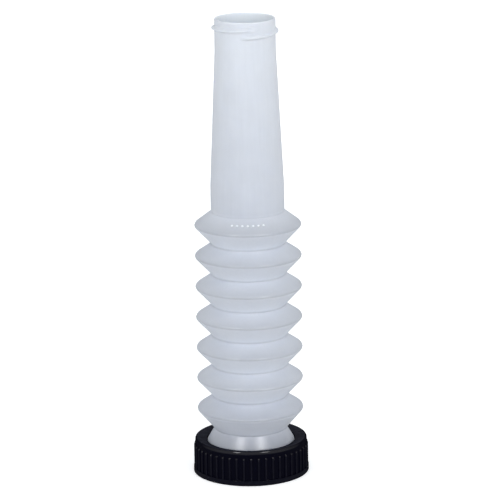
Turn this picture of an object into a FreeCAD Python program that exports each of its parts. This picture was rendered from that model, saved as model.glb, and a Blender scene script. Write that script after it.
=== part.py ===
"""Flexible pouring spout for a plastic container.

A milky plastic spout with seven bellows folds and a tapered nozzle stands in a black
screw collar. The collar screws onto the container's neck and clamps the spout's flange
and a sealing gasket against the neck's rim. The nozzle ends in a threaded mouth.

The spout is one moulding. Its folds bend at their creases, so each conical wall between
two creases is a solid of its own here, and so are the foot and the nozzle. Folds are
numbered from the collar up.

All sizes are millimetres. The origin is the centre of the collar's underside, +Z up.
"""
import FreeCAD, Part
import math
import os

# ---- Thread for the container's neck, cut into the collar's bore ----
neck_thread_radius = 30.5       # the neck's own thread, over its crests
neck_thread_clearance = 0.5
thread_depth = 1.5
thread_pitch = 4.0
thread_mouth_width = 1.9        # the groove at the bore
thread_floor_width = 1.0        # the groove at its floor
thread_runout = 0.5             # land between the groove's upper end and the flange's pocket
mouth_chamfer = 0.8             # lead-in at the collar's mouth

# ---- Collar ----
collar_height = 21.5
collar_wall = 3.2               # outside the flange's pocket, between the grip ribs
collar_edge_round = 1.5         # outer top edge
collar_rim_width = 2.2          # raised rim round the dished top, round edge included
collar_dish_depth = 1.5         # how far the top falls from the rim to the opening
collar_lip_thickness = 2.4      # the lip that pulls the flange down, at the opening
band_height = 3.3               # smooth band round the collar's underside
band_step = 1.1                 # how far the band stands out from the plain wall
band_edge_round = 0.6
rib_count = 48
rib_radius = 0.8                # half-round grip ribs
rib_gap_above = 4.0             # from the ribs' round upper ends to the collar's top

# ---- Foot of the spout ----
wall = 1.1                      # of the whole spout moulding
flange_catch = 0.7              # how far the flange reaches past the bore that it snaps through
flange_clearance = 0.8          # flange edge to the wall of its pocket in the collar
flange_play = 0.1               # flange to the lip above it
flange_thickness = 2.0
flange_width = 3.8              # from the spigot's wall to the flange's edge
spigot_clearance = 0.6          # the spigot passes the collar's opening with this gap
spigot_height = 1.9             # from the flange to the middle of the shoulder
shoulder_inner_round = 0.5
foot_height = 8.0               # from the shoulder to the lowest crease
foot_crease_radius = 22.1

# ---- Gasket ----
gasket_thickness = 1.8
gasket_width = 5.7
gasket_edge_clearance = 0.3     # inside the flange's edge
gasket_play = 0.1               # gasket to the pocket's floor under it

# ---- Bellows ----
fold_count = 7
crest_radius = 32.2
crest_lower_inner_round = 0.3   # from the crest into the long wall under it
crest_upper_inner_round = 0.5   # from the crest into the short wall over it
crease_radius = 22.4            # the creases between two folds
crease_round = 0.7
lower_wall_height = 11.3        # crease up to crest, the long wall of a fold
upper_wall_height = 7.85        # crest up to crease, the short wall of a fold
first_lower_wall_height = 12.6
last_upper_wall_height = 8.9

# ---- Nozzle ----
skirt_radius = 22.1             # straight stretch above the folds
skirt_height = 15.0
taper_height = 82.9
mouth_radius = 18.25
mouth_height = 19.7             # straight stretch at the top, which carries the cap's thread
cap_thread_pitch = 4.5
cap_thread_turns = 1.09
cap_thread_depth = 1.8
cap_thread_base_width = 3.2
cap_thread_crest_width = 0.9
cap_thread_drop = 9.2           # from the rim down to the thread's lower end
cap_thread_start_angle = -100.0 # degrees from +X, just left of the front

# ---- Overlaps that make clean cuts and joins ----
thread_bury = 0.3               # a thread's section past the surface that carries it
thread_trim = 0.3               # the cap thread's swept top, trimmed back to a true cylinder

# ---- Radii worked out from the sizes ----
groove_radius = neck_thread_radius + neck_thread_clearance
bore_radius = groove_radius - thread_depth
flange_radius = bore_radius + flange_catch
pocket_radius = flange_radius + flange_clearance
gasket_radius = flange_radius - gasket_edge_clearance
spigot_radius = flange_radius - flange_width
opening_radius = spigot_radius + spigot_clearance
collar_radius = pocket_radius + collar_wall
crest_lower_round = crest_lower_inner_round + wall
crest_upper_round = crest_upper_inner_round + wall
shoulder_round = shoulder_inner_round + wall

# ---- Heights worked out from the sizes ----
lip_top = collar_height - collar_dish_depth
lip_under = lip_top - collar_lip_thickness
flange_top = lip_under - flange_play
flange_under = flange_top - flange_thickness
gasket_under = flange_under - gasket_thickness
pocket_floor = gasket_under - gasket_play
shoulder_z = flange_top + spigot_height
lowest_crease_z = shoulder_z + foot_height

UP = FreeCAD.Vector(0, 0, 1)
ORIGIN = FreeCAD.Vector(0, 0, 0)


def point(radius, z):
    """A point of a half section, in the XZ plane."""
    return FreeCAD.Vector(radius, 0, z)


def beside(centre, distance, angle):
    """The point at a distance from a centre, at an angle in radians above +X."""
    return point(centre.x + distance * math.cos(angle), centre.z + distance * math.sin(angle))


def line(a, b):
    return Part.LineSegment(a, b).toShape()


def arc(centre, radius, from_angle, to_angle):
    """An arc of a half section, from one angle to the other, in radians above +X."""
    ends_and_middle = (from_angle, (from_angle + to_angle) / 2, to_angle)
    return Part.Arc(*[beside(centre, radius, angle) for angle in ends_and_middle]).toShape()


def joined(points):
    """Straight edges through the points, one after the other."""
    return [line(a, b) for a, b in zip(points, points[1:])]


def turned(edges):
    """The solid of revolution of a closed half section."""
    wire = Part.Wire(Part.__sortEdges__(edges))
    return Part.Face(wire).revolve(ORIGIN, UP, 360)


def cap(radius, z):
    """The flat end of a wall whose outer surface stands upright at a radius."""
    return line(point(radius, z), point(radius - wall, z))


def cone_wall(crease, crest, crest_size):
    """Outer and inner edges of a conical wall between a crease and a crest.

    Crease and crest are (radius, z) where the outer surface stands upright, and crest_size
    is the crest's rounding. The outer surface is concave round the crease and convex round
    the crest, with a straight cone between. The inner one lies the wall's thickness inside.
    """
    crease_centre = point(crease[0] + crease_round, crease[1])
    crest_centre = point(crest[0] - crest_size, crest[1])
    across = crease_centre.sub(crest_centre)
    turn = math.acos((crest_size + crease_round) / across.Length)
    if across.z > 0:
        turn = -turn
    normal = math.atan2(across.z, across.x) + turn
    opposite = normal + math.pi

    def surface(depth):
        return [
            arc(crest_centre, crest_size - depth, 0, normal),
            line(beside(crest_centre, crest_size - depth, normal),
                 beside(crease_centre, crease_round + depth, opposite)),
            arc(crease_centre, crease_round + depth, opposite, math.pi),
        ]
    return surface(0), surface(wall)


def fold_wall(crease, crest, crest_size):
    """One conical wall of a fold, from the middle of its crease to the middle of its crest."""
    outer, inner = cone_wall(crease, crest, crest_size)
    return turned(outer + inner + [cap(*crease), cap(*crest)])


def trapezium(root, tip, root_width, tip_width):
    """Corners of a thread's section, from its root radius to its tip radius."""
    return [point(root, -root_width / 2), point(tip, -tip_width / 2),
            point(tip, tip_width / 2), point(root, root_width / 2)]


def helical_sweep(pitch, turns, radius, corners):
    """A right-hand helical sweep of a flat section that lies at a radius on +X."""
    profile = Part.makePolygon(corners + corners[:1])
    helix = Part.makeHelix(pitch, pitch * turns, radius)
    return Part.Wire(helix.Edges).makePipeShell([profile], True, True)


def neck_thread_groove():
    """The helical groove for the neck's thread, open at the collar's mouth."""
    flare = (thread_mouth_width - thread_floor_width) / thread_depth
    corners = trapezium(bore_radius - thread_bury, groove_radius,
                        thread_mouth_width + flare * thread_bury, thread_floor_width)
    upper_end = pocket_floor - thread_runout - thread_mouth_width / 2
    return helical_sweep(thread_pitch, upper_end / thread_pitch, bore_radius, corners)


def grip_ribs():
    """Half-round ribs round the collar with round upper ends, cut short inside its wall."""
    rib_foot = band_height / 2
    rib_top = collar_height - rib_gap_above - rib_radius
    rib = Part.makeCylinder(rib_radius, rib_top - rib_foot, point(collar_radius, rib_foot), UP)
    rib = rib.fuse(Part.makeSphere(rib_radius, point(collar_radius, rib_top)))
    ribs = []
    for number in range(rib_count):
        copy = rib.copy()
        copy.rotate(ORIGIN, UP, 360 * number / rib_count)
        ribs.append(copy)
    within = Part.makeCylinder(collar_radius - collar_wall / 2, collar_height, ORIGIN, UP)
    return Part.makeCompound(ribs).cut(within).Solids


def screw_collar():
    """The collar: dished top, opening, pocket for the flange, neck thread and grip ribs."""
    band_radius = collar_radius + band_step
    edge_z = collar_height - collar_edge_round
    outside = joined([
        point(band_radius, band_edge_round),
        point(band_radius, band_height),
        point(collar_radius, band_height),
        point(collar_radius, edge_z),
    ])
    inside = joined([
        point(collar_radius - collar_edge_round, collar_height),
        point(collar_radius - collar_rim_width, collar_height),
        point(opening_radius, lip_top),
        point(opening_radius, lip_under),
        point(pocket_radius, lip_under),
        point(pocket_radius, pocket_floor),
        point(bore_radius, pocket_floor),
        point(bore_radius, mouth_chamfer),
        point(bore_radius + mouth_chamfer, 0),
        point(band_radius - band_edge_round, 0),
    ])
    edges = [
        arc(point(band_radius - band_edge_round, band_edge_round), band_edge_round, -math.pi / 2, 0),
        arc(point(collar_radius - collar_edge_round, edge_z), collar_edge_round, 0, math.pi / 2),
    ]
    collar = turned(outside + inside + edges).cut(neck_thread_groove())
    return collar.fuse(grip_ribs()).removeSplitter()


def spout_foot():
    """The foot: flange under the collar's lip, spigot, shoulder and flare up to a crease."""
    outer, inner = cone_wall((foot_crease_radius, lowest_crease_z),
                             (spigot_radius, shoulder_z), shoulder_round)
    flange = joined([
        point(spigot_radius, shoulder_z),
        point(spigot_radius, flange_top),
        point(flange_radius, flange_top),
        point(flange_radius, flange_under),
        point(spigot_radius - wall, flange_under),
        point(spigot_radius - wall, shoulder_z),
    ])
    return turned(outer + inner + flange + [cap(foot_crease_radius, lowest_crease_z)])


def sealing_gasket():
    """Flat rubber ring under the flange, resting on the floor of the pocket."""
    corners = [point(gasket_radius - gasket_width, gasket_under), point(gasket_radius, gasket_under),
               point(gasket_radius, flange_under), point(gasket_radius - gasket_width, flange_under)]
    return turned(joined(corners + corners[:1]))


def fold_levels():
    """For each fold, from the lowest: the crease below, the crest and the crease above."""
    levels = []
    z = lowest_crease_z
    for number in range(fold_count):
        first = number == 0
        last = number == fold_count - 1
        below = (foot_crease_radius if first else crease_radius, z)
        z += first_lower_wall_height if first else lower_wall_height
        crest = (crest_radius, z)
        z += last_upper_wall_height if last else upper_wall_height
        above = (skirt_radius if last else crease_radius, z)
        levels.append((below, crest, above))
    return levels


def cap_thread(start_z):
    """The right-hand thread outside the mouth, its crest trimmed to a true cylinder."""
    crest = mouth_radius + cap_thread_depth
    flare = (cap_thread_base_width - cap_thread_crest_width) / cap_thread_depth
    corners = trapezium(mouth_radius - thread_bury, crest + thread_trim,
                        cap_thread_base_width + flare * thread_bury,
                        cap_thread_crest_width - flare * thread_trim)
    ridge = helical_sweep(cap_thread_pitch, cap_thread_turns, mouth_radius, corners)
    rise = cap_thread_pitch * cap_thread_turns + 2 * cap_thread_base_width
    ridge = ridge.common(Part.makeCylinder(crest, rise, point(0, -cap_thread_base_width), UP))
    ridge.rotate(ORIGIN, UP, cap_thread_start_angle)
    ridge.translate(FreeCAD.Vector(0, 0, start_z))
    return ridge


def nozzle(bottom_z):
    """The nozzle: straight skirt, long taper, and a mouth with a round rim and a cap thread."""
    taper_z = bottom_z + skirt_height
    mouth_z = taper_z + taper_height
    top_z = mouth_z + mouth_height
    rim_z = top_z - wall / 2
    outside = joined([
        point(skirt_radius, bottom_z),
        point(skirt_radius, taper_z),
        point(mouth_radius, mouth_z),
        point(mouth_radius, rim_z),
    ])
    inside = joined([
        point(mouth_radius - wall, rim_z),
        point(mouth_radius - wall, mouth_z),
        point(skirt_radius - wall, taper_z),
        point(skirt_radius - wall, bottom_z),
    ])
    round_rim = arc(point(mouth_radius - wall / 2, rim_z), wall / 2, 0, math.pi)
    tube = turned(outside + inside + [round_rim, cap(skirt_radius, bottom_z)])
    return tube.fuse(cap_thread(top_z - cap_thread_drop)).removeSplitter()


def save(name, shape):
    """Writes a sub-part's solid to parts/NAME.step."""
    solids = shape.Solids
    shape = solids[0] if len(solids) == 1 else Part.makeCompound(solids)
    print(f"{name}: {len(solids)} solid, {shape.Volume / 1000:.2f} cm3, valid {shape.isValid()}")
    shape.exportStep(os.path.join("parts", name + ".step"))


def main():
    os.makedirs("parts", exist_ok=True)
    save("screw_collar", screw_collar())
    save("sealing_gasket", sealing_gasket())
    save("spout_foot", spout_foot())
    levels = fold_levels()
    for number, (below, crest, above) in enumerate(levels, start=1):
        save(f"fold_{number}_lower_wall", fold_wall(below, crest, crest_lower_round))
        save(f"fold_{number}_upper_wall", fold_wall(above, crest, crest_upper_round))
        print(f"fold {number}: crease {below[1]:.2f}, crest {crest[1]:.2f}, crease {above[1]:.2f}")
    save("nozzle", nozzle(levels[-1][2][1]))


main()
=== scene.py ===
# %% [markdown]
# # A flexible pouring spout
#
# The real thing is a long spout of milky polyethylene with seven bellows folds, standing in
# a black screw collar. The rigid model that was packed before holds every size and every
# joint, so we load it first and take places and sizes from it.

# %% Load the rigid model
import math

import bmesh
import bpy
from mathutils import Euler, Matrix, Quaternion, Vector


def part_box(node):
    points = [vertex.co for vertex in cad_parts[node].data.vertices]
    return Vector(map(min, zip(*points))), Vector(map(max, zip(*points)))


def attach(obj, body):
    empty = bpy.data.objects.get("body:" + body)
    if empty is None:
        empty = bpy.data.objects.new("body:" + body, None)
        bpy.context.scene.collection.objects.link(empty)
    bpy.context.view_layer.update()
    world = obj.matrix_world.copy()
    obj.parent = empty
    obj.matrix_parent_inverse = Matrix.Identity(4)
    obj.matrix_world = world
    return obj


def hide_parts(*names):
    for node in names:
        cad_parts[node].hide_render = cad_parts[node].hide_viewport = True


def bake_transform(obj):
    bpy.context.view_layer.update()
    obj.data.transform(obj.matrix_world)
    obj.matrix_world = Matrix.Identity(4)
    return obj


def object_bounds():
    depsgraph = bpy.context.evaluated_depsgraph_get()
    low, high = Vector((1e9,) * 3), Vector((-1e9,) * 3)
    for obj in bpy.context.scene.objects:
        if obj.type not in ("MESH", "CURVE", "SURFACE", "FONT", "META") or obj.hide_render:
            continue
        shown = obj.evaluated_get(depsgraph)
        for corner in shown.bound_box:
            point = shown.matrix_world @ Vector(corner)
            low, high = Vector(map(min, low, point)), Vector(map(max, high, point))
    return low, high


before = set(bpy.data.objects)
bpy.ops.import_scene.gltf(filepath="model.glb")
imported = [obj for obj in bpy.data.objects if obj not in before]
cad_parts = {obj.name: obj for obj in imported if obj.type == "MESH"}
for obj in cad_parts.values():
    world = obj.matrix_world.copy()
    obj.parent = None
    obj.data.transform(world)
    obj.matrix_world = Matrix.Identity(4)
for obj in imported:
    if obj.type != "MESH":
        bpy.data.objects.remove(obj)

cad_low, cad_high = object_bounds()
print("rigid model, size in mm:", [round(1000 * c, 1) for c in cad_high - cad_low])

# %% [markdown]
# ## Measuring what is there
#
# The spout's walls were turned on one axis, so a radius and a height say where anything
# is. We could write the sizes down again, but then a change of the rigid model would leave
# the looks behind. Reading them from its corners keeps both the same.

# %% Read radii and heights
mm = 0.001
same_height = 0.02 * mm


def radii_at(node, z):
    """The smallest and largest radius of a rigid node's corners at a height."""
    corners = [corner.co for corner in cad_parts[node].data.vertices]
    radii = [math.hypot(c.x, c.y) for c in corners if abs(c.z - z) < same_height]
    return min(radii), max(radii)


fold_count = sum(name.endswith("_lower_wall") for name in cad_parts)
folds = []
for number in range(1, fold_count + 1):
    crease_z, crest_z = (corner.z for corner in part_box(f"fold_{number}_lower_wall"))
    above_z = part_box(f"fold_{number}_upper_wall")[1].z
    folds.append({
        "below": (radii_at(f"fold_{number}_lower_wall", crease_z)[1], crease_z),
        "crest": (radii_at(f"fold_{number}_lower_wall", crest_z)[1], crest_z),
        "above": (radii_at(f"fold_{number}_upper_wall", above_z)[1], above_z),
    })
inner_radius, outer_radius = radii_at("fold_1_lower_wall", folds[0]["crest"][1])
wall = outer_radius - inner_radius
print(f"{fold_count} folds, crests {2000 * outer_radius:.1f} mm across, wall {wall / mm:.2f} mm")

# %% [markdown]
# ## Half sections
#
# Everything here is a half section turned on the spout's axis. A section is a list of
# (radius, height) pairs. Two helpers draw the ones we need: arcs for the rounded crests
# and creases, and a polygon whose corners are rounded off, as every moulded edge is. A
# Bevel modifier could round the edges later, but it would also find those of the ribs.

# %% Draw arcs and rounded corners
def arc(centre, radius, start, end, steps):
    """Points along an arc; angles are in radians above the outward direction."""
    turns = [start + (end - start) * step / steps for step in range(steps + 1)]
    return [(centre[0] + radius * math.cos(t), centre[1] + radius * math.sin(t)) for t in turns]


def rounded(corners, steps=4):
    """A polygon's points, given as (radius, height, rounding), with its corners rounded off."""
    points = []
    count = len(corners)
    for index, (r, z, rounding) in enumerate(corners):
        if rounding == 0:
            points.append((r, z))
            continue
        towards = []
        for neighbour in (corners[index - 1], corners[(index + 1) % count]):
            dr, dz = neighbour[0] - r, neighbour[1] - z
            length = math.hypot(dr, dz)
            towards.append((dr / length, dz / length))
        (ar, az), (br, bz) = towards
        half = math.acos(max(-1, min(1, ar * br + az * bz))) / 2
        back = rounding / math.tan(half)
        start = (r + ar * back, z + az * back)
        end = (r + br * back, z + bz * back)
        for step in range(steps + 1):
            t = step / steps
            weights = ((1 - t) ** 2, 2 * t * (1 - t), t ** 2)
            points.append(tuple(sum(w * p[axis] for w, p in zip(weights, (start, (r, z), end)))
                                for axis in (0, 1)))
    return points


square = rounded([(1, 0, 0.2), (2, 0, 0.2), (2, 1, 0.2), (1, 1, 0.2)])
print("a rounded square has", len(square), "points")

# %% [markdown]
# ## Room for a relief
#
# A thread or a rib moves the surface only where the section has points. So a side that
# carries one is cut into shorter steps, without changing its shape. Reliefs also need a
# curve that leaves the wall gently and meets its top gently: a soft S does both.

# %% Cut into steps, and rise softly
def divided(points, longest, closed=True):
    """The same outline with no step longer than a length."""
    result = []
    ends = points[1:] + points[:1] if closed else points[1:]
    for a, b in zip(points, ends):
        parts = max(1, math.ceil(math.hypot(b[0] - a[0], b[1] - a[1]) / longest))
        result += [(a[0] + (b[0] - a[0]) * i / parts, a[1] + (b[1] - a[1]) * i / parts)
                   for i in range(parts)]
    return result if closed else result + [points[-1]]


def smooth(value):
    """0 below 0, 1 above 1, and a soft S between."""
    t = min(1.0, max(0.0, value))
    return t * t * (3 - 2 * t)


print("the square in short steps has", len(divided(square, 0.1)), "points")

# %% [markdown]
# ## Columns round the spout
#
# Turning a section means copying it in columns round the axis. 144 columns look round in
# any view. The two halves of the mould meet at the spout's sides and leave a fine raised
# line there, so a few more columns stand close together on each side of it.

# %% Angles of the columns
full_turn = 2 * math.pi
plain_columns = 144
parting_sides = (0, 180)                      # degrees from the right-hand side
parting_columns = (-0.9, -0.45, 0.45, 0.9)    # degrees either side of the parting line

spout_angles = [full_turn * n / plain_columns for n in range(plain_columns)]
spout_angles += [math.radians(side + offset) % full_turn
                 for side in parting_sides for offset in parting_columns]
spout_angles.sort()
print(len(spout_angles), "columns round the spout")

# %% [markdown]
# ## Numbers that travel with a mesh
#
# A cloudy streak in the plastic bends with its fold. If a material read where a point is now, the
# streak would slide over a bent wall. So each point keeps where it lay as moulded, and some meshes keep
# more: how much painted light the wall gets there, and whether it is on the inside. Blender calls such
# stored numbers attributes, and materials read them by their names.

# %% Store numbers at the points
def keep_moulded_places(mesh):
    """Stores where each point lay as moulded, so that patterns stay put when a fold bends."""
    attribute = mesh.attributes.new("moulded_at", "FLOAT_VECTOR", "POINT")
    for vertex in mesh.vertices:
        attribute.data[vertex.index].vector = vertex.co


def keep_values(mesh, name, values):
    """Stores a number at each point, which a material reads by its name."""
    attribute = mesh.attributes.new(name, "FLOAT", "POINT")
    attribute.data.foreach_set("value", values)


print("meshes can keep moulded_at, paleness and inside")

# %% [markdown]
# ## Shading across a seam
#
# Two walls that meet at a crest are separate meshes. Smooth shading ends at each one's own
# edge, and a line would show on the crest. Both walls stand upright where they meet, so the
# true normal there is level and points away from the axis. We give it to both of them, and
# leave every other normal to Blender.

# %% Level normals on a seam
upright_share = 0.99    # a face whose normal is this upright is level, like the end of a wall


def seam_normals(mesh, count, seam):
    """A level normal for each face corner on a seam, and none for the others."""
    normals = [(0, 0, 0)] * len(mesh.loops)
    for face in mesh.polygons:
        if abs(face.normal.z) > upright_share:
            continue
        for loop in face.loop_indices:
            vertex = mesh.loops[loop].vertex_index
            if vertex % count in seam:
                x, y, _ = mesh.vertices[vertex].co
                length = math.hypot(x, y)
                side = 1 if face.normal.x * x + face.normal.y * y > 0 else -1
                normals[loop] = (side * x / length, side * y / length, 0)
    return normals


print("faces with normals more than", upright_share, "upright keep their own shading")

# %% [markdown]
# ## Turning a section into a solid
#
# Blender's Screw modifier could turn a section. We build the mesh ourselves instead, for
# two reasons: ribs and threads are a relief, an extra radius that depends on the angle and
# the height, and neighbouring walls must meet with the very same corners.

# %% Turn sections on the axis
sharp_angle = math.radians(38)


def turned(name, section, angles, relief=None, seam=(), kept=None):
    """A closed solid: a section turned on the axis, with a relief added to its radius.

    seam lists the section's points where a neighbour carries the surface on. kept names
    lists of numbers, one for each point of the section, which the material reads.
    """
    count, columns = len(section), len(angles)
    places = []
    for angle in angles:
        for index, (r, z) in enumerate(section):
            radius = r + (relief(angle, r, z, index) if relief else 0)
            places.append((radius * math.cos(angle), radius * math.sin(angle), z))
    faces = []
    for column in range(columns):
        here, there = column * count, (column + 1) % columns * count
        for index in range(count):
            after = (index + 1) % count
            faces.append((here + index, there + index, there + after, here + after))
    mesh = bpy.data.meshes.new(name)
    mesh.from_pydata(places, [], faces)
    area = sum(a[0] * b[1] - b[0] * a[1] for a, b in zip(section, section[1:] + section[:1]))
    if area < 0:
        mesh.flip_normals()
    mesh.shade_smooth()
    mesh.set_sharp_from_angle(angle=sharp_angle)
    if seam:
        mesh.normals_split_custom_set(seam_normals(mesh, count, seam))
    keep_moulded_places(mesh)
    for label, values in (kept or {}).items():
        keep_values(mesh, label, values * columns)
    thing = bpy.data.objects.new(name, mesh)
    bpy.context.scene.collection.objects.link(thing)
    return thing


print("edges that turn by more than", round(math.degrees(sharp_angle)), "degrees stay crisp")

# %% [markdown]
# ## Making nodes in few words
#
# A finish is a tree of nodes. Written out, each node and each link takes a line, and the
# idea gets lost. These helpers make a node and link it in one go, so that the finishes
# further on read nearly like sums.

# %% Node helpers
def node(tree, kind, inputs=None, **settings):
    """A new node with its settings and input values; an input that is a socket is linked."""
    made = tree.nodes.new(kind)
    for key, value in settings.items():
        setattr(made, key, value)
    for key, value in (inputs or {}).items():
        if isinstance(value, bpy.types.NodeSocket):
            tree.links.new(value, made.inputs[key])
        else:
            made.inputs[key].default_value = value
    return made


def combined(tree, operation, a, b):
    """Two numbers put through a Math node."""
    return node(tree, "ShaderNodeMath", {0: a, 1: b}, operation=operation).outputs[0]


def coloured(tree, operation, a, b):
    """Two colours, or a colour and a number, put through a Vector Math node."""
    return node(tree, "ShaderNodeVectorMath", {0: a, 1: b}, operation=operation).outputs[0]


def mapped(tree, value, start=0.0, end=1.0, first=0.0, last=1.0):
    """A value that runs from start to end, turned into one from first to last."""
    return node(tree, "ShaderNodeMapRange", {"Value": value, "From Min": start, "From Max": end,
                                             "To Min": first, "To Max": last}).outputs[0]


print("node helpers: node, combined, coloured and mapped")

# %% [markdown]
# ## Noise and groups
#
# Blender's noise counts lumps per metre, which says little about plastic. Our helper takes
# the size of a lump instead. An effect that several finishes share goes into a node group,
# with its sizes as inputs, so that it is built once and tuned in each finish.

# %% Noise by size, and empty groups
def noise(tree, place, size, detail):
    """Noise whose lumps are about as large as a size in metres."""
    scale = combined(tree, "DIVIDE", 1.0, size)
    made = node(tree, "ShaderNodeTexNoise", {"Vector": place, "Scale": scale,
                                             "Detail": detail, "Roughness": 0.55})
    return made.outputs["Fac"]


def group_with(name, inputs, outputs):
    """An empty node group with its sockets, and its input and output nodes."""
    group = bpy.data.node_groups.new(name, "ShaderNodeTree")
    for label, kind in inputs:
        group.interface.new_socket(label, in_out="INPUT", socket_type="NodeSocket" + kind)
    for label, kind in outputs:
        group.interface.new_socket(label, in_out="OUTPUT", socket_type="NodeSocket" + kind)
    return group, node(group, "NodeGroupInput"), node(group, "NodeGroupOutput")


print("node helpers: noise and group_with")

# %% [markdown]
# ## Skin of a moulding
#
# No moulded surface is perfectly even. Polyethylene comes out slightly cloudy, with a fine
# orange-peel skin, and the hot tube leaves faint streaks along its length as it is drawn.
# Three finishes need this, so it is one node group with a few inputs. A streak is the same
# noise squeezed across and stretched along the axis.

# %% Node group: moulded skin
streak_stretch = (9.0, 9.0, 0.35)    # across, across and along the spout

skin, skin_in, skin_out = group_with(
    "moulded skin",
    [("Place", "Vector"), ("Cloud Size", "Float"), ("Grain Size", "Float"), ("Streaks", "Float")],
    [("Cloud", "Float"), ("Streak", "Float"), ("Height", "Float")],
)
place = skin_in.outputs["Place"]
cloud_size = skin_in.outputs["Cloud Size"]
cloud = noise(skin, place, cloud_size, detail=3.0)
grain = noise(skin, place, skin_in.outputs["Grain Size"], detail=2.0)
stretched = coloured(skin, "MULTIPLY", place, streak_stretch)
streak = noise(skin, stretched, cloud_size, detail=2.0)
streak_height = combined(skin, "MULTIPLY", streak, skin_in.outputs["Streaks"])
height = combined(skin, "ADD", grain, streak_height)
skin.links.new(cloud, skin_out.inputs["Cloud"])
skin.links.new(streak, skin_out.inputs["Streak"])
skin.links.new(height, skin_out.inputs["Height"])
print("group:", skin.name, "with", len(skin.nodes), "nodes")

# %% [markdown]
# ## Dust and rubbing
#
# Hands polish what stands out and leave dust in what lies deep. A mask from the radius
# finds both on a turned part, because ribs stand out from the axis and grooves lie nearer.
# Noise breaks the mask into patches, as hands never rub evenly.

# %% Node group: rubbed ribs
rub, rub_in, rub_out = group_with(
    "rubbed ribs",
    [("Place", "Vector"), ("Deep Radius", "Float"), ("Proud Radius", "Float"), ("Patch Size", "Float")],
    [("Rubbed", "Float"), ("Dust And Painted Light", "Float")],
)
level = coloured(rub, "MULTIPLY", rub_in.outputs["Place"], (1.0, 1.0, 0.0))
radius = node(rub, "ShaderNodeVectorMath", {0: level}, operation="LENGTH").outputs["Value"]
proud = mapped(rub, radius, rub_in.outputs["Deep Radius"], rub_in.outputs["Proud Radius"])
deep = combined(rub, "SUBTRACT", 1.0, proud)
patches = noise(rub, rub_in.outputs["Place"], rub_in.outputs["Patch Size"], detail=4.0)
rub.links.new(combined(rub, "MULTIPLY", proud, patches), rub_out.inputs["Rubbed"])
# the deep mask also says where painted light lifts the collar's dished top
rub.links.new(combined(rub, "MULTIPLY", deep, patches), rub_out.inputs["Dust And Painted Light"])
print("group:", rub.name, "with", len(rub.nodes), "nodes")

# %% [markdown]
# ## Starting a material
#
# All three finishes start from the Principled shader. Satin plastic shines where it faces
# you and hardly along its outline, but a coat of gloss does the opposite on a curved wall.
# So one helper makes a mask from the Layer Weight node that fades gloss out at the edges.

# %% Helpers for materials
def new_material(name):
    """A material with a Principled shader; returns it, its node tree and the shader."""
    made = bpy.data.materials.new(name)
    made.use_nodes = True
    tree = made.node_tree
    return made, tree, tree.nodes["Principled BSDF"]


def stored(tree, name, output="Fac"):
    """What a mesh keeps at its points under a name."""
    return node(tree, "ShaderNodeAttribute", attribute_name=name).outputs[output]


def skin_on(tree, place, cloud_size, grain_size, streaks=0.0):
    """The moulded skin group, placed in a material with its own sizes."""
    inputs = {"Place": place, "Cloud Size": cloud_size, "Grain Size": grain_size, "Streaks": streaks}
    return node(tree, "ShaderNodeGroup", inputs, node_tree=skin)


def rubbed_between(tree, place, deep_radius, proud_radius, patch_size=2.5 * mm):
    """The rubbed ribs group, for what lies between two radii."""
    inputs = {"Place": place, "Deep Radius": deep_radius, "Proud Radius": proud_radius,
              "Patch Size": patch_size}
    return node(tree, "ShaderNodeGroup", inputs, node_tree=rub)


def bumped(tree, shader, height_socket, distance, strength):
    """Lets a height tilt the shader's normals, for relief too fine to model."""
    bump = node(tree, "ShaderNodeBump", {"Height": height_socket, "Distance": distance,
                                         "Strength": strength})
    tree.links.new(bump.outputs["Normal"], shader.inputs["Normal"])


def level_gloss(tree, full=0.35, none=0.90):
    """1 where a surface is seen from straight in front, falling to 0 towards its outline."""
    slant = node(tree, "ShaderNodeLayerWeight", {"Blend": 0.5})
    return mapped(tree, slant.outputs["Facing"], full, none, first=1.0, last=0.0)


print("material helpers: new_material, stored, skin_on, rubbed_between, bumped and level_gloss")

# %% [markdown]
# ## Milky polyethylene: colour
#
# A blow-moulded tube is stretched thinner over its wide folds and stays thick at the mouth, so the
# colour is whiter towards the mouth and greyer below. The tones are partly painted light too: each is
# set to how bright its height looks in the light, paler at the top and darker at the foot. We could
# colour each piece by itself, but then a seam would show a step. One colour ramp over the height,
# measured where each point was moulded, runs through all of them.

# %% Milky polyethylene: colour over the height
# partly painted light: each tone is set to how bright that height looks under light, not only to the
# plastic's own colour
foot_tone = (0.395, 0.413, 0.46)
flare_tone = (0.511, 0.535, 0.593)
low_fold_tone = (0.501, 0.525, 0.581)
fold_tone = (0.552, 0.577, 0.629)
skirt_tone = (0.590, 0.617, 0.675)
mouth_tone = (0.716, 0.743, 0.79)
tones = ((0.075, foot_tone), (0.105, flare_tone), (0.15, low_fold_tone), (0.20, fold_tone),
         (0.565, fold_tone), (0.60, skirt_tone), (0.97, mouth_tone))    # shares of the height

milky, tree, shader = new_material("milky_polyethylene")
place = stored(tree, "moulded_at", "Vector")
milky_skin = skin_on(tree, place, cloud_size=14 * mm, grain_size=0.9 * mm, streaks=0.6)
split = node(tree, "ShaderNodeSeparateXYZ", {"Vector": place})
up = mapped(tree, split.outputs["Z"], 0.0, cad_high.z)
tone = node(tree, "ShaderNodeValToRGB", {"Fac": up})
ramp = tone.color_ramp.elements
for index, (at, colour) in enumerate(tones):
    stop = ramp[index] if index < 2 else ramp.new(at)
    stop.position = at
    stop.color = (*colour, 1)
print(len(ramp), "tones from the foot to the mouth")

# %% [markdown]
# ## Milky polyethylene: painted light and clouds along each wall
#
# Each wall also changes along its own length, and this is painted light: the colour is made paler
# beside a crease, standing in for light that crosses the fold there, and greyer at its crest as a
# painted shade line. A height can't say that, so the walls carry a painted light value of their own. We
# multiply it in with the skin's clouds and streaks, which stay within a few percent, because good
# plastic is nearly even.

# %% Milky polyethylene: painted light, clouds and streaks
whitest = (0.97, 0.97, 0.97)    # no plastic sends back more light than this

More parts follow.
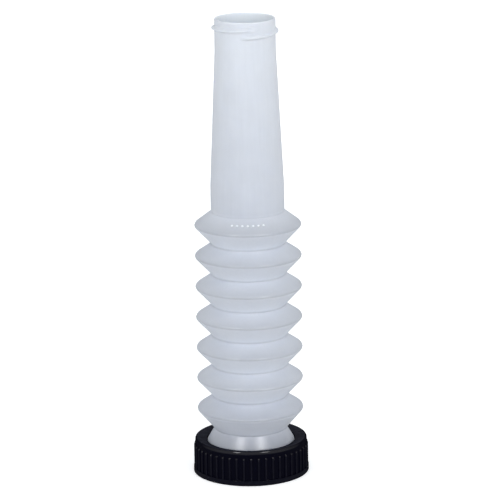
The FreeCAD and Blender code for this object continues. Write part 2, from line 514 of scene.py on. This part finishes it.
cloudy = mapped(tree, milky_skin.outputs["Cloud"], first=0.95, last=1.04)
streaky = mapped(tree, milky_skin.outputs["Streak"], first=0.97, last=1.03)
share = combined(tree, "MULTIPLY", cloudy, streaky)
# painted light: the stored value makes walls paler by creases and greyer at crests
share = combined(tree, "MULTIPLY", share, stored(tree, "painted_light"))
base = coloured(tree, "MULTIPLY", tone.outputs["Color"], share)
base = coloured(tree, "MINIMUM", base, whitest)
tree.links.new(base, shader.inputs["Base Color"])
print("colour nodes:", len(tree.nodes))

# %% [markdown]
# ## Milky polyethylene: light in the wall
#
# Natural polyethylene scatters light inside its wall, which makes it look like skimmed milk. Glass with
# fog in it would be slow and noisy, so we use the Principled shader's subsurface scattering, over about
# half the wall's thickness. The inner surface also gets a very faint painted glow, an emission that
# stands in for light coming right through the wall and brightening the tube from within. The gloss is a
# soft coat and nothing else, because the coat's weight can fade at the outlines.

# %% Milky polyethylene: scatter, painted glow and gloss
# painted glow: emission on the inner surface in place of light that passes through the wall
painted_inner_glow = 0.025
scatter_length = 0.6 * mm

painted_glow = combined(tree, "MULTIPLY", stored(tree, "inside"), painted_inner_glow)
tree.links.new(coloured(tree, "MULTIPLY", base, painted_glow), shader.inputs["Emission Color"])
shader.inputs["Emission Strength"].default_value = 1.0
shader.inputs["Subsurface Weight"].default_value = 1.0
shader.inputs["Subsurface Radius"].default_value = (1.0, 0.97, 0.92)
shader.inputs["Subsurface Scale"].default_value = scatter_length

dull = mapped(tree, milky_skin.outputs["Cloud"], first=0.30, last=0.45)
tree.links.new(dull, shader.inputs["Roughness"])
tree.links.new(level_gloss(tree), shader.inputs["Coat Weight"])
shader.inputs["Coat IOR"].default_value = 1.51
shader.inputs["Coat Roughness"].default_value = 0.32
shader.inputs["Specular IOR Level"].default_value = 0.0
bumped(tree, shader, milky_skin.outputs["Height"], distance=0.03 * mm, strength=0.6)
print("material:", milky.name)

# %% [markdown]
# ## Where the collar's finish changes
#
# The collar's gloss and painted light depend on its shape: ribs stand out, their round ends catch the
# light, and painted light lifts the dished top. So we settle those heights and radii before its
# material, and the mesh will use the same ones.

# %% Sizes of the collar's ribs and rim
rib_size = 0.8 * mm
rib_top_drop = 4.8 * mm
band_step = 1.1 * mm
dish_depth = 1.5 * mm

collar_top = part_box("screw_collar")[1].z
band_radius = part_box("screw_collar")[1].x
plain_radius = band_radius - band_step
rib_end_z = collar_top - rib_top_drop
lip_top = collar_top - dish_depth
print(f"collar: {2000 * band_radius:.1f} mm over the band, {1000 * collar_top:.1f} mm high")

# %% [markdown]
# ## Black polypropylene
#
# The collar is hard black polypropylene with a satin skin. Its colour is two near-blacks, a shade
# lighter where hands rub the ribs. On the dished top alone, painted light is added to the colour: it
# lifts the black to grey, as the upward face catches light from above.

# %% Black polypropylene: colour and painted light on the dish
deep_black = (0.0010, 0.0010, 0.0050)
rubbed_black = (0.0036, 0.0036, 0.0095)
# painted light: grey added on the dished top, standing in for light from above on that upward face
dish_light_colour = (0.040, 0.041, 0.050)
dish_light_fade = 0.3 * mm    # the painted light fades in over this height, just under the lip's top
full_dish_light_within = plain_radius - 1.3 * mm
no_dish_light_beyond = plain_radius - 0.6 * mm

black, tree, shader = new_material("black_polypropylene")
place = stored(tree, "moulded_at", "Vector")
collar_height = node(tree, "ShaderNodeSeparateXYZ", {"Vector": place}).outputs["Z"]
black_skin = skin_on(tree, place, cloud_size=6 * mm, grain_size=0.35 * mm)
ribs_rubbed = rubbed_between(tree, place, plain_radius, plain_radius + rib_size)
dish_light_radii = rubbed_between(tree, place, full_dish_light_within, no_dish_light_beyond)
shade = node(tree, "ShaderNodeValToRGB", {"Fac": ribs_rubbed.outputs["Rubbed"]})
shade.color_ramp.elements[0].color = (*deep_black, 1)
shade.color_ramp.elements[1].color = (*rubbed_black, 1)
on_top = mapped(tree, collar_height, lip_top - dish_light_fade, lip_top)
dish_light_mask = combined(tree, "MULTIPLY", on_top, dish_light_radii.outputs["Dust And Painted Light"])
dish_painted_light = coloured(tree, "MULTIPLY", dish_light_colour, dish_light_mask)
base = coloured(tree, "ADD", shade.outputs["Color"], dish_painted_light)
tree.links.new(base, shader.inputs["Base Color"])
dull = mapped(tree, ribs_rubbed.outputs["Dust And Painted Light"], first=0.45, last=0.65)
tree.links.new(dull, shader.inputs["Roughness"])
# painted light on the dish reaches out to this radius
print(f"dust lies on the dish, up to {no_dish_light_beyond / mm:.1f} mm from the axis")

# %% [markdown]
# ## Black polypropylene: gloss
#
# Black shows little colour, so its character comes from gloss. It is a thin coat again:
# weak on the ribs, strong on their round ends, where fingers push, and a soft light along
# the rim. The masks are added where they overlap on the ribs, and the larger one counts at
# the rim, so that the coat never passes full weight.

# %% Black polypropylene: gloss
rib_gloss = 0.14
least_gloss = 0.05
rim_gloss = 0.55
end_from, end_to = rib_end_z - 0.5 * mm, rib_end_z + 0.1 * mm
rim_from, rim_to = collar_top - 2.2 * mm, collar_top - 1.2 * mm

rubbed = ribs_rubbed.outputs["Rubbed"]
ends = combined(tree, "MULTIPLY", mapped(tree, collar_height, end_from, end_to), rubbed)
handled = combined(tree, "ADD", combined(tree, "MULTIPLY", rubbed, rib_gloss), ends)
handled = mapped(tree, handled, first=least_gloss, last=1.0)
handled = combined(tree, "MULTIPLY", handled, level_gloss(tree))
rim = mapped(tree, collar_height, rim_from, rim_to, last=rim_gloss)
rim = combined(tree, "MULTIPLY", rim, level_gloss(tree, full=0.15, none=0.50))
gloss = combined(tree, "MAXIMUM", handled, rim)
tree.links.new(gloss, shader.inputs["Coat Weight"])
shader.inputs["Specular IOR Level"].default_value = 0.0
shader.inputs["Coat IOR"].default_value = 1.49
shader.inputs["Coat Roughness"].default_value = 0.10
bumped(tree, shader, black_skin.outputs["Height"], distance=0.02 * mm, strength=0.5)
print("material:", black.name)

# %% [markdown]
# ## Gasket rubber
#
# The gasket is soft rubber: dark grey, uneven in tone and nearly without gloss. It never
# bends and its CAD mesh carries no stored places, so plain object coordinates serve.

# %% Material: rubber
dark_rubber = (0.020, 0.020, 0.022)
worn_rubber = (0.045, 0.045, 0.048)

rubber, tree, shader = new_material("soft_rubber")
place = node(tree, "ShaderNodeTexCoord").outputs["Object"]
rubber_skin = skin_on(tree, place, cloud_size=5 * mm, grain_size=0.25 * mm)
shade = node(tree, "ShaderNodeValToRGB", {"Fac": rubber_skin.outputs["Cloud"]})
shade.color_ramp.elements[0].color = (*dark_rubber, 1)
shade.color_ramp.elements[1].color = (*worn_rubber, 1)
tree.links.new(shade.outputs["Color"], shader.inputs["Base Color"])
shader.inputs["Roughness"].default_value = 0.78
bumped(tree, shader, rubber_skin.outputs["Height"], distance=0.03 * mm, strength=0.7)
print("material:", rubber.name)

# %% [markdown]
# ## The gasket
#
# The gasket is a plain flat ring that is hidden once the collar is on a container. Its
# rigid solid already has the right shape, so it only gets its rubber.

# %% Gasket
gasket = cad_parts["sealing_gasket"]
gasket.data.materials.clear()
gasket.data.materials.append(rubber)
gasket_low, gasket_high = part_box("sealing_gasket")
print(f"gasket: {2000 * gasket_high.x:.1f} mm across, top at {1000 * gasket_high.z:.1f} mm")

# %% [markdown]
# ## Inside the screw collar
#
# The collar is one injection moulding: a smooth band round its underside, 48 half-round
# grip ribs with round upper ends, a dished top whose rim stands a little higher, and a
# threaded bore. Inside, a lip pulls the spout's flange down on the gasket, and both lie in
# a pocket above the thread. Its heights follow from the lip and the gasket.

# %% Collar: lip, pocket and bore
lip_thickness = 2.4 * mm
gasket_play = 0.1 * mm
groove_depth = 1.5 * mm

lip_under = lip_top - lip_thickness
pocket_floor = gasket_low.z - gasket_play
opening_radius = radii_at("screw_collar", lip_top)[0]
bore_radius = radii_at("screw_collar", pocket_floor)[0]
pocket_radius = bore_radius + groove_depth
print(f"bore {2000 * bore_radius:.1f} mm, opening {2000 * opening_radius:.1f} mm across")

# %% [markdown]
# ## Grip ribs
#
# Ribs could be 48 rods joined to a ring, but a join leaves a seam. As a relief they grow
# out of the wall. Cut across, a rib is half a circle, and a quarter of a ball closes its
# upper end, so one square root gives its height everywhere.

# %% Collar: relief of the ribs
rib_count = 48
band_height = 3.3 * mm


def rib_relief(angle, z):
    """How far a grip rib stands out: half round across, with a quarter-round upper end."""
    if z > rib_end_z + rib_size:
        return 0
    turn = full_turn / rib_count
    off = (angle + turn / 2) % turn - turn / 2
    beyond = max(0, z - rib_end_z)
    return math.sqrt(max(0, rib_size ** 2 - (off * plain_radius) ** 2 - beyond ** 2))


print("ribs stand out by up to", round(rib_relief(0, rib_end_z) / mm, 2), "mm")

# %% [markdown]
# ## Thread groove
#
# The thread is a groove in the bore with slanted flanks. It climbs by one pitch each turn,
# so the groove's middle at any angle is a share of the pitch plus a whole number of turns,
# and the distance from it gives the depth.

# %% Collar: relief of the thread
groove_pitch = 4.0 * mm
groove_widths = (1.9 * mm, 1.0 * mm)    # at the bore and at the floor
groove_end_gap = 0.5 * mm
same_radius = 0.01 * mm


def groove_relief(angle, z):
    """How deep the right-hand thread groove is cut into the bore."""
    wide, narrow = groove_widths
    last = pocket_floor - groove_end_gap - wide / 2
    lead = angle / full_turn * groove_pitch
    turns = round((z - lead) / groove_pitch)
    centre = lead + turns * groove_pitch
    if centre > last or turns < 0:
        return 0
    off = abs(z - centre)
    return groove_depth * min(1, max(0, (wide / 2 - off) / ((wide - narrow) / 2)))


def collar_relief(angle, r, z, index):
    """The ribs on the outside above the band, and the groove in the bore."""
    if abs(r - plain_radius) < same_radius and z > band_height:
        return rib_relief(angle, z)
    if abs(r - bore_radius) < same_radius and z < pocket_floor:
        return groove_relief(angle, z)
    return 0


print(f"thread: {pocket_floor / groove_pitch:.1f} turns would fit in the bore")

# %% [markdown]
# ## The collar's section
#
# The section runs once round the collar's wall. The bore needs short steps for the groove,
# and the short stretch where the ribs end needs the shortest. Elsewhere a straight side
# stays whole, which keeps the mesh light.

# %% Collar: section
mouth_chamfer = 0.8 * mm
rim_round = 1.5 * mm
rim_width = 2.2 * mm
bore_step = 0.35 * mm
rib_end_step = 0.16 * mm

collar_corners = [
    (bore_radius + mouth_chamfer, 0, 0.1 * mm),
    (band_radius, 0, 0.6 * mm),
    (band_radius, band_height, 0.25 * mm),
    (plain_radius, band_height, 0.15 * mm),
    (plain_radius, rib_end_z, 0),
    (plain_radius, rib_end_z + rib_size, 0),
    (plain_radius, collar_top, rim_round),
    (plain_radius - rim_width, collar_top, 0.3 * mm),
    (opening_radius, lip_top, 0.35 * mm),
    (opening_radius, lip_under, 0.1 * mm),
    (pocket_radius, lip_under, 0.2 * mm),
    (pocket_radius, pocket_floor, 0.2 * mm),
    (bore_radius, pocket_floor, 0.1 * mm),
    (bore_radius, mouth_chamfer, 0),
]


def collar_step(a, b):
    """How long a step may be on the side of the section between two of its points."""
    if abs(a[0] - bore_radius) + abs(b[0] - bore_radius) < same_radius:
        return bore_step
    if rib_end_z <= min(a[1], b[1]) and max(a[1], b[1]) <= rib_end_z + rib_size:
        return rib_end_step
    return math.inf


outline = rounded(collar_corners)
collar_section = []
for a, b in zip(outline, outline[1:] + outline[:1]):
    collar_section += divided([a, b], collar_step(a, b), closed=False)[:-1]
print("collar's section:", len(collar_section), "points")

# %% [markdown]
# ## The collar
#
# Round the collar, even columns would either miss the ribs' round flanks or be far too
# many. So they crowd at each rib's flanks and are sparse between ribs. The new mesh then
# stands for the rigid collar and rides on its body.

# %% Collar: mesh
rib_columns = (-3.75, -2.4, -1.6, -1.36, -1.28, -1.1, -0.8, -0.4,
               0, 0.4, 0.8, 1.1, 1.28, 1.36, 1.6, 2.4)    # degrees from the middle of a rib

collar_angles = [full_turn * rib / rib_count + math.radians(offset)
                 for rib in range(rib_count) for offset in rib_columns]
collar = turned("screw_collar_black", collar_section, collar_angles, collar_relief)
collar.data.materials.append(black)
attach(collar, "collar")
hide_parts("screw_collar")
print("collar:", len(collar.data.polygons), "faces")

# %% [markdown]
# ## The surface of a conical wall
#
# The foot and every fold have the same kind of wall: concave round a crease, straight, and
# convex round a crest. Two arcs and the line that touches both draw it. The same helper
# with a depth draws the inner surface, the wall's thickness inside, because arcs about the
# same centres stay parallel.

# %% Draw a conical wall
crease_round = 0.7 * mm
crest_lower_round = 1.4 * mm
crest_upper_round = 1.6 * mm
straight_step = 1.2 * mm


def cone_surface(crease, crest, rounding, depth, steps=7):
    """One surface of a conical wall, from crease to crest, a depth inside the outer one."""
    crease_centre = (crease[0] + crease_round, crease[1])
    crest_centre = (crest[0] - rounding, crest[1])
    dr, dz = crease_centre[0] - crest_centre[0], crease_centre[1] - crest_centre[1]
    turn = math.acos((rounding + crease_round) / math.hypot(dr, dz))
    normal = math.atan2(dz, dr) + (turn if dz < 0 else -turn)
    low = arc(crease_centre, crease_round + depth, math.pi, normal + math.pi, steps)
    high = arc(crest_centre, rounding - depth, normal, 0, steps)
    straight = divided([low[-1], high[0]], straight_step, closed=False)
    return low + straight[1:-1] + high


sample = cone_surface(folds[0]["below"], folds[0]["crest"], crest_lower_round, depth=0)
print("a wall's outer surface has", len(sample), "points from crease to crest")

# %% [markdown]
# ## Parting line
#
# Where the two halves of the mould meet, a little plastic creeps between them and leaves a
# fine raised line up both sides. It is real geometry, a tenth of a millimetre high, because
# it shows on the outline of the folds, where a bump can't.

# %% Relief of the parting line
parting_height = 0.1 * mm
parting_half_width = 0.42 * mm


def parting_relief(angle, r):
    """The fine line that the two halves of a mould leave on a spout."""
    sides = [math.radians(side) for side in parting_sides]
    off = min(abs((angle - side + math.pi) % full_turn - math.pi) for side in sides) * r
    return parting_height * smooth(1 - off / parting_half_width)


print(f"parting line: {parting_height / mm:.1f} mm high, {2 * parting_half_width / mm:.2f} mm wide")

# %% [markdown]
# ## Painted light along a surface
#
# A wall's painted light changes from its crease to its crest. We say it at a few shares of the way, as
# on a ruler laid along the surface, and every point between gets its own value.

# %% Spread painted light over points
slack = 1e-9    # a share of 1 may come out a little over 1


def painted_light_along(points, steps):
    """A painted light value for each point, from (share of the way, value) steps along the surface."""
    lengths = [0.0]
    for a, b in zip(points, points[1:]):
        lengths.append(lengths[-1] + math.hypot(b[0] - a[0], b[1] - a[1]))
    values = []
    for length in lengths:
        share = length / lengths[-1]
        after = next(index for index in range(1, len(steps)) if share <= steps[index][0] + slack)
        (low, low_value), (high, high_value) = steps[after - 1], steps[after]
        values.append(low_value + (high_value - low_value) * (share - low) / (high - low))
    return values


print("halfway along a plain step:", painted_light_along([(0, 0), (1, 0), (2, 0)], ((0, 0.0), (1, 1.0)))[1])

# %% [markdown]
# ## Shells of milky plastic
#
# A shell is an outer and an inner surface turned together as one closed wall. A Solidify modifier could
# thicken one surface, but it would round the inside by its own rules. The shell carries the parting
# line outside, its painted light from end to end, and a mark on its inner points, which also get
# painted light. Where a neighbour carries it on, its end is a seam.

# %% Build a shell
# painted light: the inner surface is made paler, in place of light coming through the wall
inner_painted_light = 1.20


def shell(name, outer, inner, painted_light, relief=None, low=True, high=True):
    """A closed wall between two surfaces; low and high say which of its ends are seams."""
    section = outer + inner[::-1]
    kept = {"painted_light": painted_light + [inner_painted_light] * len(inner),
            "inside": [0.0] * len(outer) + [1.0] * len(inner)}
    seam = set()
    if low:
        seam |= {0, len(section) - 1}
    if high:
        seam |= {len(outer) - 1, len(outer)}

    def outer_relief(angle, r, z, index):
        extra = parting_relief(angle, r) if index < len(outer) else 0
        return extra + (relief(angle, r, z) if relief else 0)
    made = turned(name, section, spout_angles, outer_relief, seam, kept)
    made.data.materials.append(milky)
    return made


print("shells are", round(wall / mm, 2), "mm thick, inner paleness", inner_painted_light)

# %% [markdown]
# ## The foot
#
# The foot's flange sits under the collar's lip. Above it the spigot passes the opening, has
# a soft shoulder and flares in to the lowest crease, where the first fold takes over. So
# its section is a rounded polygon below and a conical wall above.

# %% Foot of the spout
flange_play = 0.1 * mm
spigot_height = 1.9 * mm
shoulder_round = 1.6 * mm
flange_round = 0.3 * mm
# painted light: walls are made paler where they meet at a crease, against the shade in it
crease_painted_light = 1.07

foot_low, foot_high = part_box("spout_foot")
flange_radius = foot_high.x
spigot_bore = radii_at("spout_foot", foot_low.z)[0]
spigot_radius = spigot_bore + wall
flange_top = lip_under - flange_play
shoulder = (spigot_radius, flange_top + spigot_height)
foot_crease = folds[0]["below"]
foot_outer = rounded([
    (spigot_bore, foot_low.z, 0),
    (flange_radius, foot_low.z, flange_round),
    (flange_radius, flange_top, flange_round),
    (spigot_radius, flange_top, flange_round),
    (*shoulder, 0),
])[1:-1]
foot_outer += cone_surface(foot_crease, shoulder, shoulder_round, depth=0)[::-1]
foot_inner = [(spigot_bore, foot_low.z)]
foot_inner += cone_surface(foot_crease, shoulder, shoulder_round, depth=wall)[::-1]
foot_steps = ((0, 1.0), (0.9, 1.0), (1, crease_painted_light))
foot = shell("foot", foot_outer, foot_inner, painted_light_along(foot_outer, foot_steps), low=False)
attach(foot, "foot")
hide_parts("spout_foot")
print("foot:", len(foot.data.polygons), "faces")

# %% [markdown]
# ## The folds
#
# Each fold has a long wall below its crest and a short wall above. A real fold bends like cloth:
# nothing slides and nothing turns on a pin. Each wall here is its own shell, and neighbouring walls
# meet at crests and creases with the very same corners. The steps of painted light run from the crease
# to the crest: paler beside the crease, a painted shade line at the crest, and the top fold's short
# wall gets a little less painted light than the others.

# %% Fourteen walls
# painted light and shade along each wall: paler beside a crease for light that crosses the fold, lower
# walls lifted most as they face down, and a painted shade line at the crest
crest_painted_shade = 0.83
lower_steps = ((0, crease_painted_light), (0.10, 1.27), (0.30, 1.17), (0.55, 1.12), (0.96, 1.09),
               (1, crest_painted_shade))
upper_steps = ((0, crease_painted_light), (0.08, 1.24), (0.25, 1.15), (0.45, 1.08), (0.80, 0.98),
               (0.92, 0.91), (1, crest_painted_shade))
top_steps = ((0, crease_painted_light), (0.08, 1.07), (0.45, 0.99), (0.80, 0.91), (0.92, 0.87),
             (1, crest_painted_shade))


def fold_wall(name, crease, crest, rounding, steps):
    """A conical wall of a fold, built as a shell that stands in for the rigid wall."""
    outer = cone_surface(crease, crest, rounding, depth=0)
    inner = cone_surface(crease, crest, rounding, depth=wall)
    piece = shell(name, outer, inner, painted_light_along(outer, steps))
    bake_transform(piece)
    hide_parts(name + "_wall")
    return piece


for number, fold in enumerate(folds, start=1):
    top = number == fold_count
    fold_wall(f"fold_{number}_lower", fold["below"], fold["crest"], crest_lower_round,
              lower_steps)
    last = fold_wall(f"fold_{number}_upper", fold["above"], fold["crest"], crest_upper_round,
                     top_steps if top else upper_steps)
print(2 * fold_count, "walls,", len(last.data.polygons), "faces each")

# %% [markdown]
# ## A row of pips
#
# Such spouts carry a small raised mark on their top fold. Ours is a plain row of pips that says
# nothing. Each is a flattened ball, half sunk in the wall, and the wall's own slope gives its tilt.

# %% Pips on the top fold
pip_count = 7
pip_size = 1.5 * mm
pip_height = 0.45 * mm
pip_spacing = math.radians(7.0)
pip_middle = math.radians(-90)    # the front
pip_share = 0.42                  # of the way from the crease to the crest
# painted highlight: the pips are made paler, as raised marks that catch the light
pip_painted_highlight = 1.55


def pips(name, crease, crest):
    """Raised pips in a row round a wall."""
    across, rise = crest[0] - crease[0], crest[1] - crease[1]
    middle = Vector((crease[0] + across * pip_share, 0, crease[1] + rise * pip_share))
    lie = Matrix.Translation(middle) @ Matrix.Rotation(math.atan2(-rise, across), 4, "Y")
    squash = Matrix.Diagonal((pip_size / 2, pip_size / 2, pip_height, 1))
    cells = bmesh.new()
    for index in range(pip_count):
        turn = pip_middle + (index - (pip_count - 1) / 2) * pip_spacing
        spin = Matrix.Rotation(turn, 4, "Z")
        bmesh.ops.create_icosphere(cells, subdivisions=3, radius=1, matrix=spin @ lie @ squash)
    mesh = bpy.data.meshes.new(name)
    cells.to_mesh(mesh)
    cells.free()
    mesh.shade_smooth()
    keep_moulded_places(mesh)
    keep_values(mesh, "painted_light", [pip_painted_highlight] * len(mesh.vertices))
    thing = bpy.data.objects.new(name, mesh)
    bpy.context.scene.collection.objects.link(thing)
    return thing


top_fold = folds[-1]
row = pips("fold_7_pips", top_fold["above"], top_fold["crest"])
row.data.materials.append(milky)
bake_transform(row)
print(pip_count, "pips,", len(row.data.polygons), "faces")

# %% [markdown]
# ## The cap's thread
#
# The cap's thread runs once round the mouth and fades out at both ends, because a blow
# mould can't hold a sharp end. A swept ridge would need joining to the tube, so it is a
# relief again: at each angle we ask how far the ridge's middle is from this height.

# %% Relief of the cap's thread
nozzle_low, nozzle_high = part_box("nozzle")
mouth_height = 19.7 * mm
mouth_z = nozzle_high.z - mouth_height
mouth_radius = radii_at("nozzle", mouth_z)[1]

cap_thread = {
    "pitch": 4.5 * mm,
    "turns": 1.09,
    "depth": 1.8 * mm,
    "drop": 9.2 * mm,
    "base": 3.4 * mm,
    "crest": 0.7 * mm,
    "start": math.radians(-100),
    "fade": math.radians(14),
}


def thread_relief(angle, r, z):
    """The ridge of the cap's thread, rising to the right."""
    if z < mouth_z or r < mouth_radius - wall / 4:
        return 0
    highest = 0
    behind = (angle - cap_thread["start"]) % full_turn
    for along in (behind, behind + full_turn):
        left = cap_thread["turns"] * full_turn - along
        if left < 0:
            continue
        centre = nozzle_high.z - cap_thread["drop"] + cap_thread["pitch"] * along / full_turn
        flank = (cap_thread["base"] - cap_thread["crest"]) / 2
        shape = smooth((cap_thread["base"] / 2 - abs(z - centre)) / flank)
        fade = smooth(min(along, left) / cap_thread["fade"])
        highest = max(highest, cap_thread["depth"] * shape * fade)
    return highest


print(f"mouth {2000 * mouth_radius:.1f} mm across, {cap_thread['turns']} turns of thread")

# %% [markdown]
# ## The nozzle
#
# Above the folds the spout is straight for a short skirt, tapers to the mouth and ends in a
# round rim. Only the mouth has short steps, for the thread.

# %% Nozzle
skirt = folds[-1]["above"]
skirt_height = 15.0 * mm
taper_step = 2 * mm
thread_step = 0.25 * mm
inner_step = 3 * mm
rim_steps = 4

taper_z = nozzle_low.z + skirt_height
rim_z = nozzle_high.z - wall / 2
rim_centre = (mouth_radius - wall / 2, rim_z)
mouth_foot = (mouth_radius, mouth_z)
outer = divided([skirt, (skirt[0], taper_z), mouth_foot], taper_step, closed=False)[:-1]
outer += divided([mouth_foot, (mouth_radius, rim_z)], thread_step, closed=False)
outer += arc(rim_centre, wall / 2, 0, math.pi / 2, rim_steps)[1:]
inner_corners = [(skirt[0] - wall, skirt[1]), (skirt[0] - wall, taper_z),
                 (mouth_radius - wall, mouth_z), (mouth_radius - wall, rim_z)]
inner = divided(inner_corners, inner_step, closed=False)
inner += arc(rim_centre, wall / 2, math.pi, math.pi / 2, rim_steps)[1:-1]
nozzle_steps = ((0, crease_painted_light), (0.012, 1.0), (1, 1.0))
nozzle = shell("nozzle_tube", outer, inner, painted_light_along(outer, nozzle_steps),
               relief=thread_relief, high=False)
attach(nozzle, "nozzle")
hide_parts("nozzle")
print("nozzle:", len(nozzle.data.polygons), "faces")

# %% [markdown]
# ## Floor and world
#
# The spout stands on a pale floor under an even, slightly cool sky, as in a light tent.
# The floor and the sky look white to the camera, to gloss and through clear plastic, but
# only the plain sky lights the spout. The Light Path node tells these rays apart, so a
# white background costs no extra light on the milky plastic.

# %% Floor and world
floor_half = 4.0
floor_grey = (0.80, 0.80, 0.80, 1)
floor_lift = 0.50
white = (1, 1, 1, 1)
cool_ambient = (0.583, 0.608, 0.636, 1)


def seen_directly(tree):
    """1 for rays that the eye, a gloss or clear plastic sends out, else 0."""
    path = node(tree, "ShaderNodeLightPath").outputs
    both = combined(tree, "MAXIMUM", path["Is Camera Ray"], path["Is Glossy Ray"])
    return combined(tree, "MAXIMUM", both, path["Is Transmission Ray"])


floor_mesh = bpy.data.meshes.new("floor")
floor_mesh.from_pydata([(-floor_half, -floor_half, 0), (floor_half, -floor_half, 0),
                        (floor_half, floor_half, 0), (-floor_half, floor_half, 0)], [], [(0, 1, 2, 3)])
floor = bpy.data.objects.new("floor", floor_mesh)
bpy.context.scene.collection.objects.link(floor)
floor_white, tree, shader = new_material("floor_white")
shader.inputs["Base Color"].default_value = floor_grey
shader.inputs["Roughness"].default_value = 0.9
shader.inputs["Emission Color"].default_value = white
lift = combined(tree, "MULTIPLY", seen_directly(tree), floor_lift)
tree.links.new(lift, shader.inputs["Emission Strength"])
floor_mesh.materials.append(floor_white)

world = bpy.data.worlds.new("studio")
bpy.context.scene.world = world
world.use_nodes = True
sky_tree = world.node_tree
sky = node(sky_tree, "ShaderNodeMix", {0: seen_directly(sky_tree), 6: cool_ambient, 7: white},
           data_type="RGBA")
sky_tree.links.new(sky.outputs[2], sky_tree.nodes["Background"].inputs["Color"])
print("floor:", 2 * floor_half, "m wide; world:", world.name)

# %% [markdown]
# ## Soft boxes
#
# One lamp usually lights a thing and shows in its gloss at once. Here the two jobs are
# split, because the spout wants broad light and narrow highlights. Boxes at the left, the
# right, the front and the back only light it, and stay out of reflections. Two stronger
# but smaller "shines" light nothing and only show in the coat, as soft highlights on the
# folds and the foot and as glints on the collar.

# %% Lamps
def soft_box(name, azimuth, elevation, distance, width, tall, power, glossy=True, diffuse=True):
    """An area lamp that faces the middle of the spout; azimuth 0 is the front, in degrees."""
    lamp = bpy.data.lights.new(name, "AREA")
    lamp.shape = "RECTANGLE"
    lamp.size, lamp.size_y = width, tall
    lamp.energy = power
    thing = bpy.data.objects.new(name, lamp)
    a, e = math.radians(azimuth), math.radians(elevation)
    back = (math.sin(a) * math.cos(e), -math.cos(a) * math.cos(e), math.sin(e))
    middle = (cad_low + cad_high) / 2
    thing.location = [m + distance * b for m, b in zip(middle, back)]
    direction = middle - thing.location
    thing.rotation_euler = direction.to_track_quat("-Z", "Y").to_euler()
    thing.visible_camera = False
    thing.visible_glossy = glossy
    thing.visible_diffuse = diffuse
    bpy.context.scene.collection.objects.link(thing)


near, far = 1.2, 1.8    # metres from the spout
soft_box("left_box", azimuth=-34, elevation=42, distance=near, width=0.45, tall=0.12,
         power=1.4, glossy=False)
soft_box("right_box", azimuth=35, elevation=42, distance=near, width=0.45, tall=0.12,
         power=2.0, glossy=False)
soft_box("left_shine", azimuth=-36, elevation=42, distance=near, width=0.30, tall=0.16,
         power=7.2, diffuse=False)
soft_box("right_shine", azimuth=34, elevation=42, distance=near, width=0.26, tall=0.16,
         power=7.2, diffuse=False)
soft_box("front_fill", azimuth=2, elevation=8, distance=far, width=1.0, tall=0.5,
         power=9.6, glossy=False)
soft_box("back_fill", azimuth=180, elevation=20, distance=far, width=0.5, tall=0.5,
         power=4.5, glossy=False)
print(len(bpy.data.lights), "lamps")

# %% [markdown]
# ## Camera
#
# A long lens two metres away and a little above keeps the spout nearly free of perspective.
# The camera is rolled by less than a degree, because a real soft spout never stands quite
# upright and the rigid one does. The Standard view shows colours as they are written.

# %% Camera and view
lens_mm = 245.7
camera_place = (0.0011, -2.0, 0.65)
look_down = math.radians(14.34)
roll = math.radians(0.85)

camera_data = bpy.data.cameras.new("camera")
camera_data.sensor_width = 36
camera_data.lens = lens_mm
camera = bpy.data.objects.new("camera", camera_data)
camera.location = camera_place
camera.rotation_mode = "QUATERNION"
tilt = Euler((math.radians(90) - look_down, 0, 0)).to_quaternion()
camera.rotation_quaternion = tilt @ Quaternion((0, 0, 1), -roll)
bpy.context.scene.collection.objects.link(camera)
bpy.context.scene.camera = camera
bpy.context.scene.view_settings.view_transform = "Standard"
print(f"camera: {lens_mm} mm lens, looking down {math.degrees(look_down):.2f} degrees")
